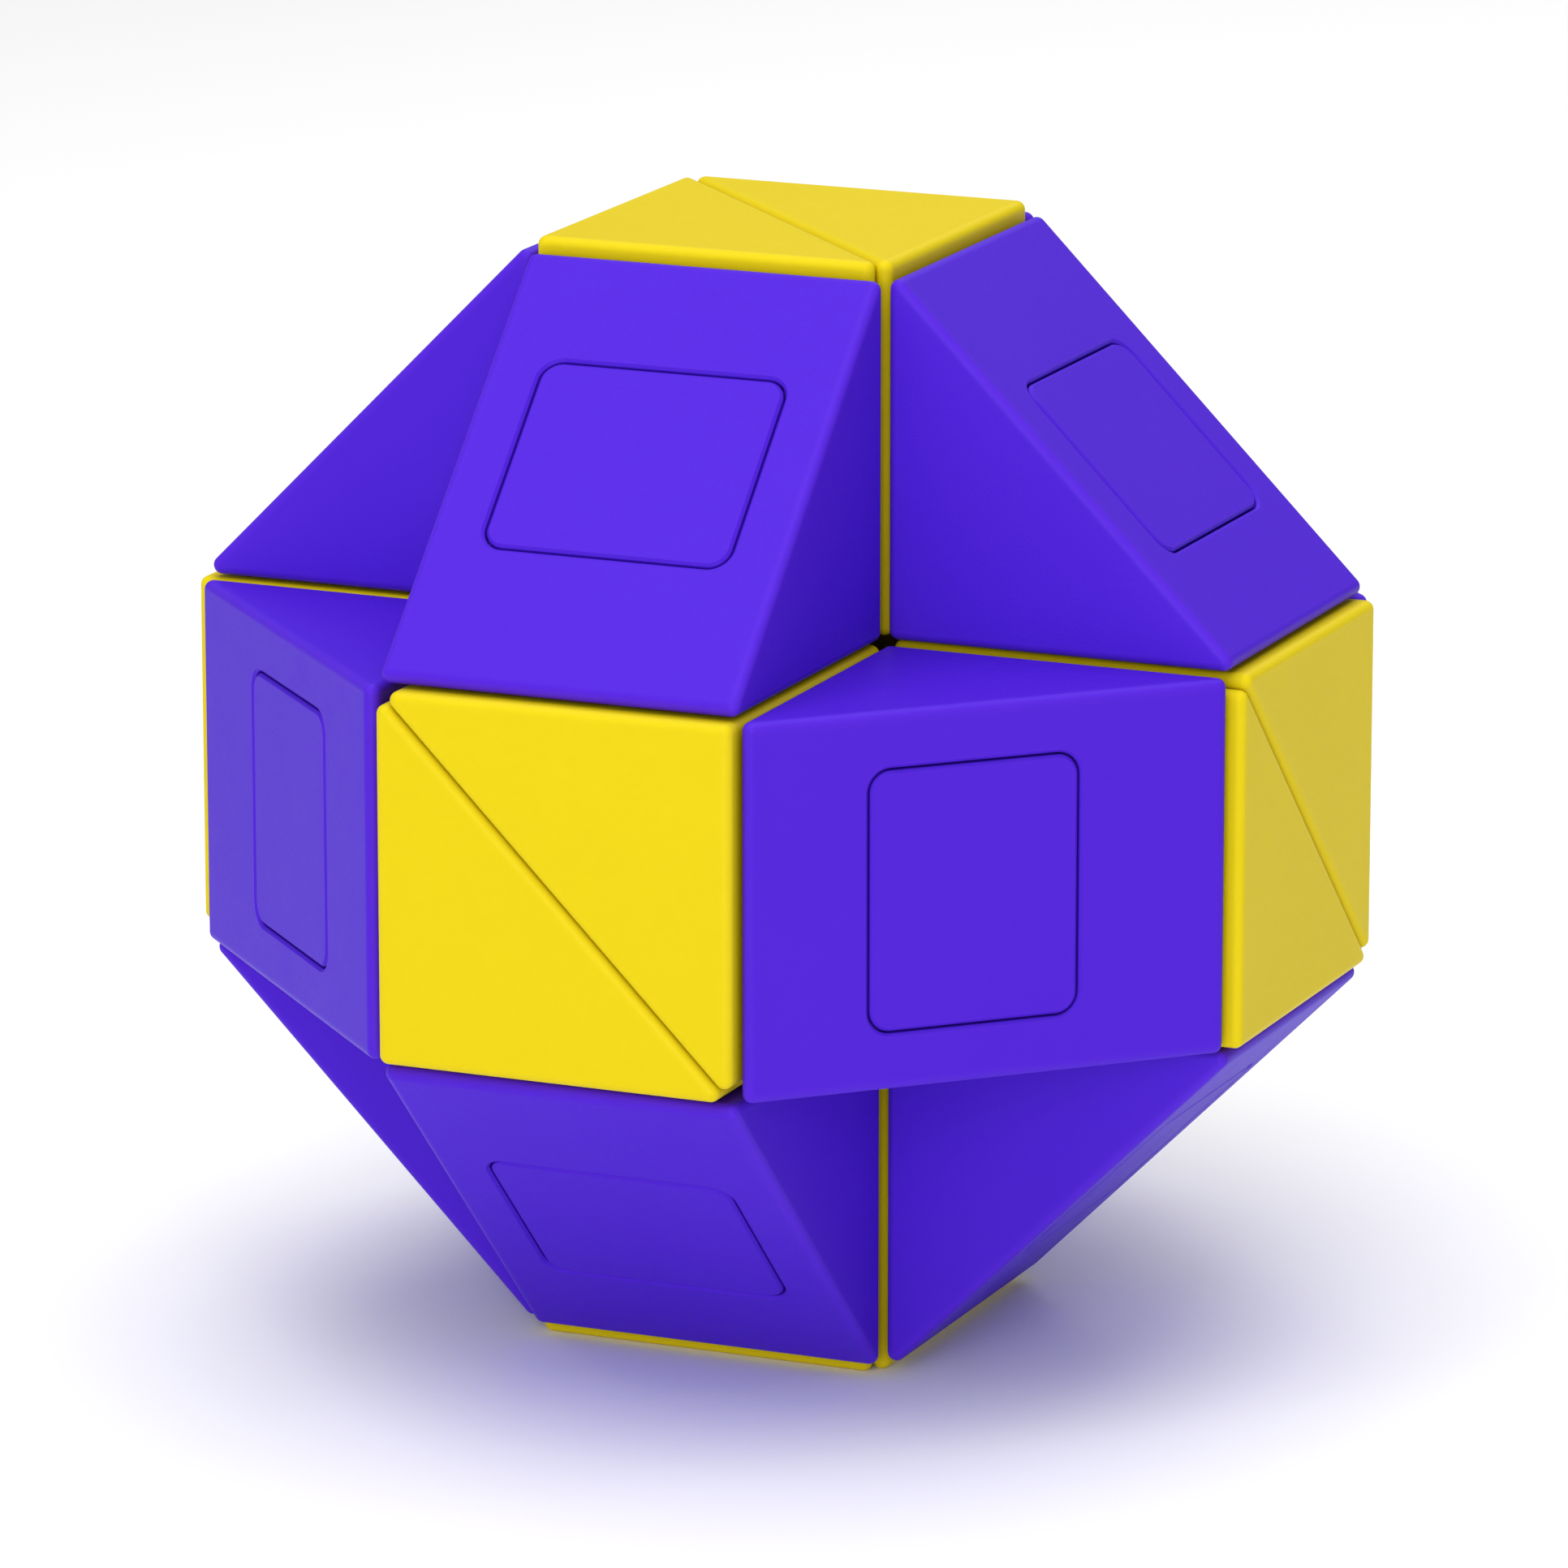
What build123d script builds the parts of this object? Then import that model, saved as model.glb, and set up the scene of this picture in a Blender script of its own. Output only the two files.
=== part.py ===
"""Twisty snake puzzle: 24 right-angled wedges in a row, folded up into a ball.

Each wedge is half of a cube, cut along its diagonal. It has two square leg faces, where it
meets the wedges before and after it, two triangular ends, and a sloping long face with a
press-in cap. Neighbours turn against each other about the middle of their shared square
faces, on a screw with a spring under its head. Alternate wedges are the two colours: the
odd ones have the screw heads inside them, and the even ones hold the screws' bosses.

Millimetres, +Z up, resting on z = 0, with the ball's middle on the Z axis.
"""
from build123d import *
import math
import os

# ---- the wedge ----
PITCH = 20.5  # side of the cube that a wedge is half of
FACE_GAP = 0.20  # play between two square faces that turn on each other
SLOPE_GAP = 0.10  # play between two long faces that lie together
END_GAP = 0.10  # what the triangular ends fall short of the pitch, both together
EDGE_RADIUS = 0.5  # rounding of every outer edge
WALL = 1.5  # shell thickness

# ---- the cap in the long face ----
CAP_ALONG = 14.0  # across the slope, along the triangle-to-triangle axis
CAP_SLOPE = 11.7  # down the slope
CAP_SHIFT = 0.8  # from the middle of the slope, towards the wedge before
CAP_CORNER = 1.15
CAP_PLATE = 0.8  # thickness of the visible plate
CAP_SPIGOT = 0.6  # the plug under the plate
CAP_LEDGE = 1.1  # what the plate sits on, all round
CAP_GROOVE = 0.14  # gap seen round the plate
CAP_FIT = 0.06  # gap round the spigot
CAP_BREAK = 0.15  # broken edge of the plate and its pocket

# ---- the turning joint ----
SCREW_SHANK = 2.6  # diameter
HEAD_RIM = 0.1  # how far the head reaches past the spring
HEAD_HEIGHT = 1.1
DRIVE_SLOT = 0.6  # width of the cross recess
DRIVE_SPAN = 2.5  # its length
DRIVE_DEPTH = 0.6
SCREW_BITE = 4.0  # length held in the boss
BOSS_WALL = 1.1  # round the screw
BOSS_FLOOR = 0.6  # what closes the boss behind the screw
HOLE_PLAY = 0.08  # radial play where the screw turns
BITE_PLAY = 0.01  # radial play of the held end
WASHER_RIM = 0.1  # how far the washer reaches past the spring
WASHER = 0.3  # thickness
SPRING_PLAY = 0.25  # radial play between the shank and the coil
SPRING_WIRE = 0.45
SPRING_TURNS = 3.5
SPRING_LENGTH = 2.3
STACK_PLAY = 0.02  # between pieces stacked on the screw

# ---- the clicks, every quarter turn ----
CLICK_RADIUS = 6.0
PIP = 1.2  # diameter
PIP_HEIGHT = 0.4
TRACK_PLAY = 0.1  # round and under the pips
POCKET = 1.7  # diameter
POCKET_DEPTH = 0.15  # below the track

# ---- how the row is folded ----
FIRST_CELL = (-1, 1, 0)  # cell of wedge 1, with the ball's middle cell at 0, 0, 0
FIRST_BACK = (1, 0, 0)  # the way its free square face looks
FIRST_ON = (0, -1, 0)  # the way to wedge 2
TURNS = "+--+-++-+--++--+-++-+--"  # which way each of the 23 joints is turned

# ---- sizes that follow ----
FACE = PITCH / 2 - FACE_GAP / 2  # middle of the cell to a square face
END = PITCH / 2 - END_GAP / 2  # middle of the cell to a triangular end
SLOPE_IN = SLOPE_GAP / 2  # middle of the cell to the long face
MIDDLE_Z = PITCH + END  # height of the ball's middle
WEDGES = len(TURNS) + 1
HOLE = SCREW_SHANK + 2 * HOLE_PLAY
BOSS = SCREW_SHANK + 2 * BOSS_WALL
SPRING_OUTER = SCREW_SHANK + 2 * (SPRING_PLAY + SPRING_WIRE)
WASHER_OUTER = SPRING_OUTER + 2 * WASHER_RIM
SCREW_HEAD = SPRING_OUTER + 2 * HEAD_RIM
TRACK_DEPTH = PIP_HEIGHT - FACE_GAP + TRACK_PLAY
HALF = math.sqrt(0.5)


def cross(a, b):
    return (
        a[1] * b[2] - a[2] * b[1],
        a[2] * b[0] - a[0] * b[2],
        a[0] * b[1] - a[1] * b[0],
    )


def chain():
    """For each wedge its cell, the way back and the way on, walking along the folded row."""
    cell, back, on = FIRST_CELL, FIRST_BACK, FIRST_ON
    places = [(cell, back, on)]
    for turn in TURNS:
        side = cross(back, on)
        cell = tuple(c + o for c, o in zip(cell, on))
        back, on = tuple(-o for o in on), tuple(s * int(turn + "1") for s in side)
        places.append((cell, back, on))
    return places


def wedge_place(cell, back, on):
    """The wedge's own frame: X looks back, Y looks on, Z runs from triangle to triangle."""
    middle = tuple(c * PITCH for c in cell)
    return Plane(
        origin=(middle[0], middle[1], middle[2] + MIDDLE_Z),
        x_dir=back,
        z_dir=cross(back, on),
    ).location


def prism(inset, slope_in, length):
    """A right-angled prism; its legs stand inset from the outer faces."""
    leg = FACE - inset
    low = slope_in * math.sqrt(2) - leg
    corners = [(leg, leg), (low, leg), (leg, low)]
    return extrude(Plane.XY.offset(-length / 2) * make_face(Polyline(*corners, close=True)), length)


# the cap's own frame on the long face: X towards the wedge before, Y along the wedge, Z outwards
CAP_FRAME = Plane(
    origin=((SLOPE_IN + CAP_SHIFT) * HALF, (SLOPE_IN - CAP_SHIFT) * HALF, 0),
    x_dir=(HALF, -HALF, 0),
    z_dir=(-HALF, -HALF, 0),
)


def in_place(shape):
    return CAP_FRAME.location * shape


def plate(down, along, corner, top, thickness):
    """A rounded plate under the long face, its top at the given depth."""
    outline = RectangleRounded(down, along, corner)
    return extrude(Plane.XY.offset(-top - thickness) * outline, thickness)


def leg_frame(leg):
    """A frame on the back (X) or on (Y) leg face, with Z pointing out of the wedge."""
    if leg == "back":
        return Plane(origin=(FACE, 0, 0), x_dir=(0, 1, 0), z_dir=(1, 0, 0)).location
    return Plane(origin=(0, FACE, 0), x_dir=(0, 0, 1), z_dir=(0, 1, 0)).location


def rod(diameter, top, length):
    """A round bar on the leg frame's Z axis, from the height top downwards."""
    bar = Cylinder(diameter / 2, length, align=(Align.CENTER, Align.CENTER, Align.MAX))
    return Pos(0, 0, top) * bar


def ring(outer, inner, top, length):
    return rod(outer, top, length) - rod(inner, top, length)


def click_spots():
    """Four places on the corner diagonals, a quarter turn apart."""
    side = CLICK_RADIUS * HALF
    return [Pos(x * side, y * side, 0) for x in (-1, 1) for y in (-1, 1)]


def head_side(shell, leg):
    """A leg wall that turns round the screw: a hole, and the track that the pips run in."""
    frame = leg_frame(leg)
    width = PIP + 2 * TRACK_PLAY
    track = ring(2 * CLICK_RADIUS + width, 2 * CLICK_RADIUS - width, 0, TRACK_DEPTH)
    shell -= frame * rod(HOLE, 0, WALL)
    shell -= frame * track
    for spot in click_spots():
        shell -= frame * spot * rod(POCKET, 0, TRACK_DEPTH + POCKET_DEPTH)
    return shell


def boss_side(shell, leg):
    """A leg wall with the screw's boss inside it and four pips outside."""
    frame = leg_frame(leg)
    shell += frame * rod(BOSS, -WALL, SCREW_BITE + BOSS_FLOOR - WALL)
    shell -= frame * rod(SCREW_SHANK + 2 * BITE_PLAY, 0, SCREW_BITE + STACK_PLAY)
    for spot in click_spots():
        pip = rod(PIP, PIP_HEIGHT, PIP_HEIGHT)
        pip = fillet(pip.edges().sort_by(Axis.Z)[-1], PIP_HEIGHT / 2)
        shell += frame * spot * pip
    return shell


def blank_shell():
    """The hollow prism with its cap opening, before the joints are added."""
    outer = prism(0, SLOPE_IN, 2 * END)
    outer = fillet(outer.edges(), EDGE_RADIUS)
    hollow = prism(WALL, SLOPE_IN + WALL, 2 * (END - WALL))
    down, along = CAP_SLOPE + 2 * CAP_GROOVE, CAP_ALONG + 2 * CAP_GROOVE
    pocket = plate(down, along, CAP_CORNER + CAP_GROOVE, 0, CAP_PLATE)
    lip = pocket_lip(down, along)
    inner = 2 * CAP_LEDGE - 2 * CAP_FIT
    opening = plate(CAP_SLOPE - inner, CAP_ALONG - inner, CAP_CORNER, 0, 2 * WALL)
    return outer - hollow - in_place(pocket) - in_place(opening) - in_place(lip)


def pocket_lip(down, along):
    """The broken edge at the mouth of the cap's pocket."""
    corner = CAP_CORNER + CAP_GROOVE
    mouth = RectangleRounded(down + 2 * CAP_BREAK, along + 2 * CAP_BREAK, corner + CAP_BREAK)
    return extrude(Plane.XY * mouth, -CAP_BREAK, taper=45)


def make_cap():
    """The press-in cap: a plate on a plug."""
    top = plate(CAP_SLOPE, CAP_ALONG, CAP_CORNER, 0, CAP_PLATE)
    top = chamfer(top.faces().sort_by(Axis.Z)[-1].edges(), CAP_BREAK)
    inner = 2 * CAP_LEDGE
    plug = plate(CAP_SLOPE - inner, CAP_ALONG - inner, CAP_CORNER, CAP_PLATE, CAP_SPIGOT)
    return in_place(top + plug)


def screw():
    """Pan-headed screw seen from the boss's leg face; its head is out in the next wedge."""
    head_under = FACE_GAP + WALL + STACK_PLAY * 3 + WASHER + SPRING_LENGTH
    shank = rod(SCREW_SHANK, head_under, head_under + SCREW_BITE)
    head = rod(SCREW_HEAD, head_under + HEAD_HEIGHT, HEAD_HEIGHT)
    head = fillet(head.edges().sort_by(Axis.Z)[-1], HEAD_HEIGHT / 2)
    drive = Box(DRIVE_SPAN, DRIVE_SLOT, DRIVE_DEPTH)
    drive += Box(DRIVE_SLOT, DRIVE_SPAN, DRIVE_DEPTH)
    return shank + head - Pos(0, 0, head_under + HEAD_HEIGHT - DRIVE_DEPTH / 2) * drive


def washer():
    base = FACE_GAP + WALL + STACK_PLAY
    return ring(WASHER_OUTER, HOLE, base + WASHER, WASHER)


def spring():
    """A short coil between the washer and the screw's head."""
    base = FACE_GAP + WALL + WASHER + 2 * STACK_PLAY
    radius = (SPRING_OUTER - SPRING_WIRE) / 2
    rise = SPRING_LENGTH - SPRING_WIRE
    path = Helix(rise / SPRING_TURNS, rise, radius)
    start = Plane(origin=path @ 0, z_dir=path % 0)
    coil = sweep(start * Circle(SPRING_WIRE / 2), path=path, is_frenet=True)
    return Pos(0, 0, base + SPRING_WIRE / 2) * coil


def joint_hardware(leg):
    return [leg_frame(leg) * piece for piece in (screw(), washer(), spring())]


def build():
    os.makedirs("parts", exist_ok=True)
    blank, cap = blank_shell(), make_cap()
    for number, place in enumerate(chain(), start=1):
        legs = [leg for leg, free in (("back", 1), ("on", WEDGES)) if number != free]
        frame = wedge_place(*place)
        shell = blank
        for leg in legs:
            shell = head_side(shell, leg) if number % 2 else boss_side(shell, leg)
        name = f"wedge_{number:02d}"
        export_step(frame * shell, f"parts/{name}_shell.step")
        export_step(frame * cap, f"parts/{name}_cap.step")
        if number % 2 == 0:
            pieces = [frame * piece for leg in legs for piece in joint_hardware(leg)]
            export_step(Compound(children=pieces), f"parts/{name}_hardware.step")


build()
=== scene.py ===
import math

import bpy
import numpy as np
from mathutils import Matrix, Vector

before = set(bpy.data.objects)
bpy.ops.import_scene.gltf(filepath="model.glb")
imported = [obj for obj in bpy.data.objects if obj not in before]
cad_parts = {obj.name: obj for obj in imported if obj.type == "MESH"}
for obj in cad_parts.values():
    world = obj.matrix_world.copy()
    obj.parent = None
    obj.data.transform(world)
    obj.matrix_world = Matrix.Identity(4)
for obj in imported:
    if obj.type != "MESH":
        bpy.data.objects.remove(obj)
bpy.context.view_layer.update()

# ---- sizes, in metres, as the wedges are moulded ----
PITCH = 0.0205
FACE_GAP = 0.0002  # between the square faces
SLOPE_GAP = 0.0001  # between two long faces
END_GAP = 0.0001  # what the triangular ends fall short of the pitch
MIDDLE_Z = 1.5 * PITCH - END_GAP / 2
MM_PER_METRE = 1000.0

# ---- how the row is folded up ----
TURNS = "+--+-++-+--++--+-++-+--"
FIRST_CELL, FIRST_BACK, FIRST_ON = (-1, 1, 0), (1, 0, 0), (0, -1, 0)

# ---- the finishes ----
# Colours run from the darkest flow mark to the body, and then to a paler edge, which is partly
# wear and partly a painted highlight.
BLUE = [(0.066, 0.012, 0.54, 1), (0.076, 0.016, 0.58, 1), (0.13, 0.040, 0.68, 1)]
YELLOW = [(0.65, 0.50, 0.004, 1), (0.69, 0.54, 0.005, 1), (0.76, 0.62, 0.02, 1)]
STEEL_DULL, STEEL_BRIGHT = (0.42, 0.43, 0.45, 1), (0.66, 0.66, 0.64, 1)
FLOOR_WHITE = (0.95, 0.95, 0.95, 1)

# Each noise has a scale, per millimetre, a detail and a roughness.
FLOW, CLOUD = (0.09, 3.0, 0.55), (0.45, 4.0, 0.6)
GRAIN, SPARKS = (5.5, 3.0, 0.6), (14.0, 2.0, 0.7)
SPANGLE, DRAWING = (2.2, 4.0, 0.6), (1.6, 2.0, 0.5)
NOISE_MIDDLE = 0.5
WEDGE_SHIFT = (7.3, 3.1, 5.7)  # millimetres, so that no two wedges match
DRAWN_OUT = (1.0, 1.0, 14.0)

# The edges are painted paler, partly as wear and partly as a painted highlight; these numbers
# shape that edge mask.
WEAR_AND_HIGHLIGHT_ALL, WEAR_AND_HIGHLIGHT_NONE = 0.1, 0.75  # millimetres from an edge
WEAR_AND_HIGHLIGHT_LEAST, WEAR_AND_HIGHLIGHT_CLOUD = 0.35, 0.9
WEAR_AND_HIGHLIGHT_TINT, WORN_POLISH = 0.22, 0.08
FLOW_SHADE, CLOUD_SHADE, GRAIN_SHADE = 0.5, 0.25, 0.12
SATIN, GRAIN_ROUGH, CLOUD_ROUGH = 0.44, 0.16, 0.10
PLASTIC_IOR, PLASTIC_SHEEN = 1.53, 0.06
PLASTIC_BUMP, PLASTIC_RELIEF = 0.35, 0.00004
STEEL_ROUGH, SPANGLE_ROUGH, DRAWING_ROUGH = 0.24, 0.16, 0.08
STEEL_BUMP, STEEL_RELIEF = 0.2, 0.00002


def wedge_frames():
    """Walks along the folded row: each wedge's middle, the way back and the way on."""
    cell, back, on = (np.array(v, float) for v in (FIRST_CELL, FIRST_BACK, FIRST_ON))
    frames = [(cell, back, on)]
    for turn in TURNS:
        side = np.cross(back, on)
        cell = cell + on
        back, on = -on, side * (1 if turn == "+" else -1)
        frames.append((cell, back, on))
    return [(c * PITCH + np.array([0, 0, MIDDLE_Z]), b, o) for c, b, o in frames]


class Value:
    """A shader socket that can be used in sums; each sum adds its node."""

    def __init__(self, tree, socket):
        self.tree = tree
        self.socket = socket

    def math(self, kind, *others):
        return self.tree.add("ShaderNodeMath", {"operation": kind}, self, *others)

    def __add__(self, other):
        return self.math("ADD", other)

    __radd__ = __add__

    def __sub__(self, other):
        return self.math("SUBTRACT", other)

    def __rsub__(self, other):
        return self.tree.add("ShaderNodeMath", {"operation": "SUBTRACT"}, other, self)

    def __mul__(self, other):
        return self.math("MULTIPLY", other)

    __rmul__ = __mul__

    def __abs__(self):
        return self.math("ABSOLUTE")

    def least(self, other):
        return self.math("MINIMUM", other)

    def most(self, other):
        return self.math("MAXIMUM", other)

    def swing(self, amount):
        """A noise as a change of this size, up or down."""
        return (self - NOISE_MIDDLE) * amount

    def ease(self, low, high):
        """0 below low, 1 above high, smooth between."""
        settings = {"interpolation_type": "SMOOTHSTEP"}
        return self.tree.add("ShaderNodeMapRange", settings, self, low, high)

    def vector(self, kind, *others):
        return self.tree.add("ShaderNodeVectorMath", {"operation": kind}, self, *others)

    def along(self, direction):
        """How far a vector goes in a direction."""
        dot = self.vector("DOT_PRODUCT", tuple(direction))
        return Value(self.tree, dot.socket.node.outputs["Value"])


class Finish:
    """A material being put together, one node at a time."""

    def __init__(self, name):
        self.material = bpy.data.materials.new(name)
        self.material.use_nodes = True
        self.nodes = self.material.node_tree.nodes
        self.shader = self.nodes["Principled BSDF"]

    def fill(self, socket, value):
        if isinstance(value, Value):
            self.material.node_tree.links.new(value.socket, socket)
        else:
            socket.default_value = value

    def add(self, kind, settings=None, *values, **named):
        """Adds a node; None leaves a socket as it is."""
        node = self.nodes.new(kind)
        for key, setting in (settings or {}).items():
            setattr(node, key, setting)
        for socket, value in zip(node.inputs, values):
            if value is not None:
                self.fill(socket, value)
        for key, value in named.items():
            self.fill(node.inputs[key.replace("_", " ")], value)
        return Value(self, next(s for s in node.outputs if s.enabled))

    def place(self):
        """Where a point is on the piece as it was made, in millimetres."""
        here = Value(self, self.nodes.new("ShaderNodeTexCoord").outputs["Object"])
        return here.vector("SCALE", None, None, MM_PER_METRE)

    def noise(self, where, scale, detail, rough):
        return self.add(
            "ShaderNodeTexNoise", Vector=where, Scale=scale, Detail=detail, Roughness=rough
        )

    def tint(self, amount, low, high):
        """A colour from low to high."""
        node = self.add("ShaderNodeMix", {"data_type": "RGBA"}).socket.node
        colours = [s for s in node.inputs if s.type == "RGBA"]
        self.fill(node.inputs["Factor"], amount)
        self.fill(colours[0], low)
        self.fill(colours[1], high)
        return Value(self, next(s for s in node.outputs if s.type == "RGBA"))

    def bump(self, strength, relief, height):
        return self.add("ShaderNodeBump", Strength=strength, Distance=relief, Height=height)

    def set(self, **values):
        for key, value in values.items():
            self.fill(self.shader.inputs[key.replace("_", " ")], value)


def edge_distance(where, middle, back, on):
    """How far a point on a wedge's skin is from the nearest moulded edge, in millimetres.

    The five faces of the wedge are planes. On the skin the distance to the nearest plane is
    nothing, so the second smallest of the distances is the distance to the nearest edge.
    """
    face = (PITCH - FACE_GAP) / 2 * MM_PER_METRE
    local = where.vector("SUBTRACT", tuple(middle * MM_PER_METRE))
    u, v, w = local.along(back), local.along(on), local.along(np.cross(back, on))
    leg_a, leg_b = face - u, face - v
    slope = (u + v) * math.sqrt(0.5) - SLOPE_GAP / 2 * MM_PER_METRE
    end = (PITCH - END_GAP) / 2 * MM_PER_METRE - abs(w)
    inner = leg_a.least(leg_b).most(slope.least(end))
    return leg_a.most(leg_b).least(slope.most(end)).least(inner)


def moulded_plastic(name, colours, wedge_frame, number):
    """Satin moulded plastic: a fine grained skin, faint flow marks, and paler, smoother edges;
    the paler colour is wear plus a painted highlight.
    """
    low, base, high = colours
    finish = Finish(name)
    where = finish.place()
    edge = edge_distance(where, *wedge_frame)
    shifted = where.vector("ADD", tuple(number * step for step in WEDGE_SHIFT))
    noises = (FLOW, CLOUD, GRAIN, SPARKS)
    flow, cloud, grain, sparks = (finish.noise(shifted, *noise) for noise in noises)
    # Edge mask: wear and a painted highlight towards every edge, also used to smooth the edges.
    wear_and_highlight = (1 - edge.ease(WEAR_AND_HIGHLIGHT_ALL, WEAR_AND_HIGHLIGHT_NONE)) * (WEAR_AND_HIGHLIGHT_LEAST + WEAR_AND_HIGHLIGHT_CLOUD * cloud)
    shade = flow.swing(FLOW_SHADE) + cloud.swing(CLOUD_SHADE) + grain.swing(GRAIN_SHADE)
    body = finish.tint(shade + NOISE_MIDDLE, low, base)
    rough = SATIN + grain.swing(GRAIN_ROUGH) + cloud.swing(CLOUD_ROUGH) - wear_and_highlight * WORN_POLISH
    skin = grain * 0.6 + sparks * 0.4
    # The base colour is tinted paler at the edges: wear plus a painted highlight.
    finish.set(Base_Color=finish.tint(wear_and_highlight * WEAR_AND_HIGHLIGHT_TINT, body, high), Roughness=rough)
    finish.set(Normal=finish.bump(PLASTIC_BUMP, PLASTIC_RELIEF, skin))
    finish.set(IOR=PLASTIC_IOR, Specular_IOR_Level=PLASTIC_SHEEN)
    return finish.material


def zinc_steel():
    """Bright zinc-plated screws, washers and springs, with faint drawing lines."""
    finish = Finish("zinc_steel")
    where = finish.place()
    spangle = finish.noise(where, *SPANGLE)
    lines = finish.noise(where.vector("MULTIPLY", DRAWN_OUT), *DRAWING)
    rough = STEEL_ROUGH + spangle * SPANGLE_ROUGH + lines * DRAWING_ROUGH
    finish.set(Base_Color=finish.tint(spangle, STEEL_DULL, STEEL_BRIGHT))
    finish.set(Roughness=rough, Metallic=1.0)
    finish.set(Normal=finish.bump(STEEL_BUMP, STEEL_RELIEF, lines))
    return finish.material


def dress(node, material):
    """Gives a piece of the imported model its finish."""
    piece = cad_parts[node]
    piece.data.materials.clear()
    piece.data.materials.append(material)


steel = zinc_steel()
for number, place in enumerate(wedge_frames(), start=1):
    colours = BLUE if number % 2 else YELLOW
    name = f"wedge_{number:02d}"
    plastic = moulded_plastic(name + "_plastic", colours, place, number)
    dress(name + "_shell", plastic)
    dress(name + "_cap", plastic)
    if number % 2 == 0:
        dress(name + "_hardware", steel)


# ---- the studio ----
FLOOR_SIZE = 6.0
WORLD_STRENGTH = 0.24
BALL_MIDDLE = (0, 0, MIDDLE_Z)
BEHIND = (0, 0.42, 0)

# Each lamp has an azimuth and elevation, a distance, a size, a power and what it looks at.
LAMPS = {
    "overhead": ((0, 80), 0.7, 0.8, 5.0, BALL_MIDDLE),
    "front": ((12, 14), 0.7, 0.4, 2.3, BALL_MIDDLE),
    "front_left": ((-35, 35), 0.55, 0.4, 0.3, BALL_MIDDLE),
    "right_fill": ((85, 12), 0.6, 0.4, 0.35, BALL_MIDDLE),
    "far_floor": ((180, 80), 0.5, 0.6, 1.6, BEHIND),
}


def flat_sheet(name, size, height):
    """A flat square sheet."""
    x, y = np.meshgrid([-size / 2, size / 2], [-size / 2, size / 2])
    corners = np.stack([x.ravel(), y.ravel(), np.full(4, height)], 1)
    mesh = bpy.data.meshes.new(name)
    mesh.from_pydata(corners.tolist(), [], [(0, 1, 3, 2)])
    sheet = bpy.data.objects.new(name, mesh)
    bpy.context.scene.collection.objects.link(sheet)
    return sheet


def way(azimuth, elevation):
    """The direction at an azimuth from the front, turning to the right, and an elevation."""
    azimuth, elevation = math.radians(azimuth), math.radians(elevation)
    flat = math.cos(elevation)
    return Vector((math.sin(azimuth) * flat, -math.cos(azimuth) * flat, math.sin(elevation)))


def look_from(holder, away, distance, aim):
    """Puts a lamp or the camera out from a point, and turns it to look back at it."""
    holder.location = away * distance + Vector(aim)
    holder.rotation_mode = "QUATERNION"
    holder.rotation_quaternion = (-away).to_track_quat("-Z", "Y")
    bpy.context.scene.collection.objects.link(holder)


def soft_light(name, direction, distance, size, power, aim):
    """A square lamp that looks at a point from a direction."""
    lamp = bpy.data.lights.new(name, "AREA")
    lamp.size, lamp.energy = size, power
    look_from(bpy.data.objects.new(name, lamp), way(*direction), distance, aim)


floor = flat_sheet("floor", FLOOR_SIZE, 0.0)
pale = Finish("pale_floor")
pale.set(Base_Color=FLOOR_WHITE, Roughness=0.7)
floor.data.materials.append(pale.material)

for name, settings in LAMPS.items():
    soft_light(name, *settings)

world = bpy.data.worlds.new("studio")
world.use_nodes = True
background = world.node_tree.nodes["Background"].inputs
background["Color"].default_value = (1, 1, 1, 1)
background["Strength"].default_value = WORLD_STRENGTH
bpy.context.scene.world = world
bpy.context.scene.view_settings.view_transform = "Standard"

# ---- the camera ----
CAMERA_AZIMUTH, CAMERA_ELEVATION, CAMERA_DISTANCE = 23.3, 14.0, 0.530
CAMERA_DROP = 0.0009  # how far below the ball's middle it looks
LENS, SENSOR = 221.5, 36

camera = bpy.data.objects.new("camera", bpy.data.cameras.new("camera"))
towards = way(CAMERA_AZIMUTH, CAMERA_ELEVATION)
look_from(camera, towards, CAMERA_DISTANCE, (0, 0, MIDDLE_Z - CAMERA_DROP))
camera.data.lens = LENS
camera.data.sensor_width = SENSOR
camera.data.clip_start = 0.01
bpy.context.scene.camera = camera
